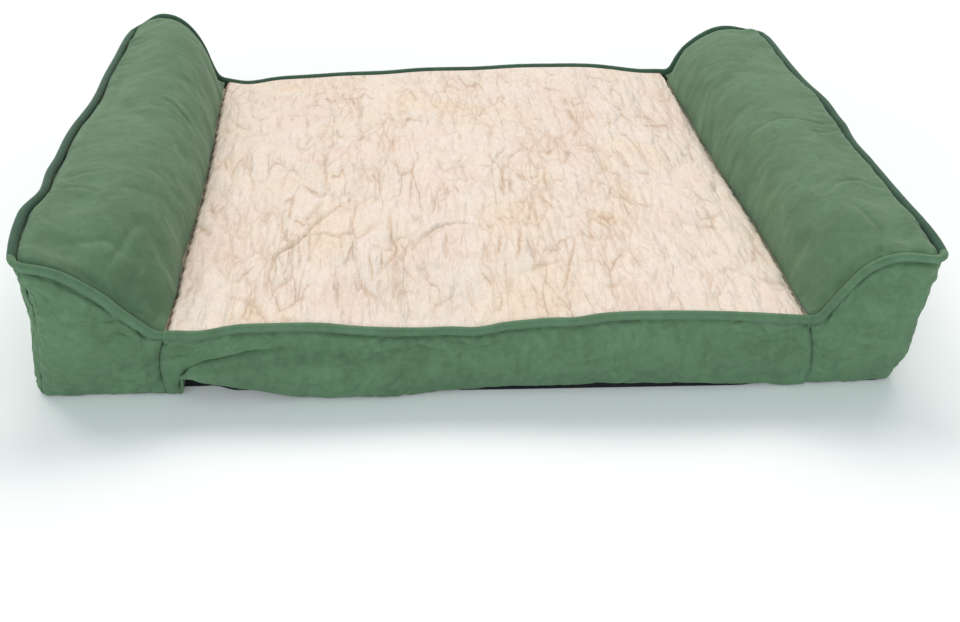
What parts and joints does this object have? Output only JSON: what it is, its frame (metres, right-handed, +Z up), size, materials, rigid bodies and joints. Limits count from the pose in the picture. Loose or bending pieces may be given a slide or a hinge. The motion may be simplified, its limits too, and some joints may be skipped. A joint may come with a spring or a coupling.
{
  "type": "dog sofa bed",
  "caption": "Low rectangular pet bed with a padded plush sleeping surface between welted side bolsters, open at front and back, in a removable zipped cover.",
  "frame": {"origin": "centre of the underside, on the floor that the bed lies on", "axes": "+X across the bed's width from the left bolster to the right one, seen from the front; +Y from the front edge to the back; +Z up"},
  "size_m": [0.947, 0.7034, 0.1788],
  "materials": {
    "suede": "soft green faux suede with a short mottled nap",
    "welt_suede": "the same faux suede, wrapped round a cord",
    "plush": "cream crinkled short-pile plush",
    "underside_cloth": "dark plain woven cloth",
    "foam": "open-cell polyurethane foam",
    "lining": "plain non-woven lining",
    "fibre": "loose polyester fibre",
    "zipper_tape": "woven polyester tape",
    "zipper_teeth": "moulded plastic",
    "zipper_metal": "die-cast zinc, satin plated"
  },
  "bodies": {
    "bed": {"sleep_quilt": "plush", "bolster_cloth_left": "suede", "bolster_cloth_right": "suede", "front_panel": "suede", "front_end_panel_left": "suede", "front_end_panel_right": "suede", "side_panel_left": "suede", "side_panel_right": "suede", "back_panel_upper": "suede", "back_panel_lower": "suede", "back_end_panel_left": "suede", "back_end_panel_right": "suede", "base_panel": "underside_cloth", "front_welt": "welt_suede", "front_end_welt_left": "welt_suede", "front_end_welt_right": "welt_suede", "side_welt_left": "welt_suede", "side_welt_right": "welt_suede", "back_welt": "welt_suede", "back_end_welt_left": "welt_suede", "back_end_welt_right": "welt_suede", "foam_slab": "foam", "bolster_lining_left": "lining", "bolster_lining_right": "lining", "bolster_fill_left": "fibre", "bolster_fill_right": "fibre", "zipper_tape_upper": "zipper_tape", "zipper_tape_lower": "zipper_tape", "zipper_teeth_upper": "zipper_teeth", "zipper_teeth_lower": "zipper_teeth", "zipper_top_stops": "zipper_metal", "zipper_bottom_stop": "zipper_metal"},
    "slider": {"zipper_slider": "zipper_metal"},
    "pull": {"zipper_pull": "zipper_metal"}
  },
  "joints": [
    {"name": "zipper_slide", "type": "slide", "parent": "bed", "child": "slider", "axis": [1, 0, 0], "range_m": [0, 0.582], "deforming": ["zipper_teeth_upper", "zipper_teeth_lower"]},
    {"name": "pull_turn", "type": "hinge", "parent": "slider", "child": "pull", "pos_m": [-0.29015, 0.344, 0.04155], "axis": [0, 0, -1], "range_deg": [0, 180]}
  ]
}
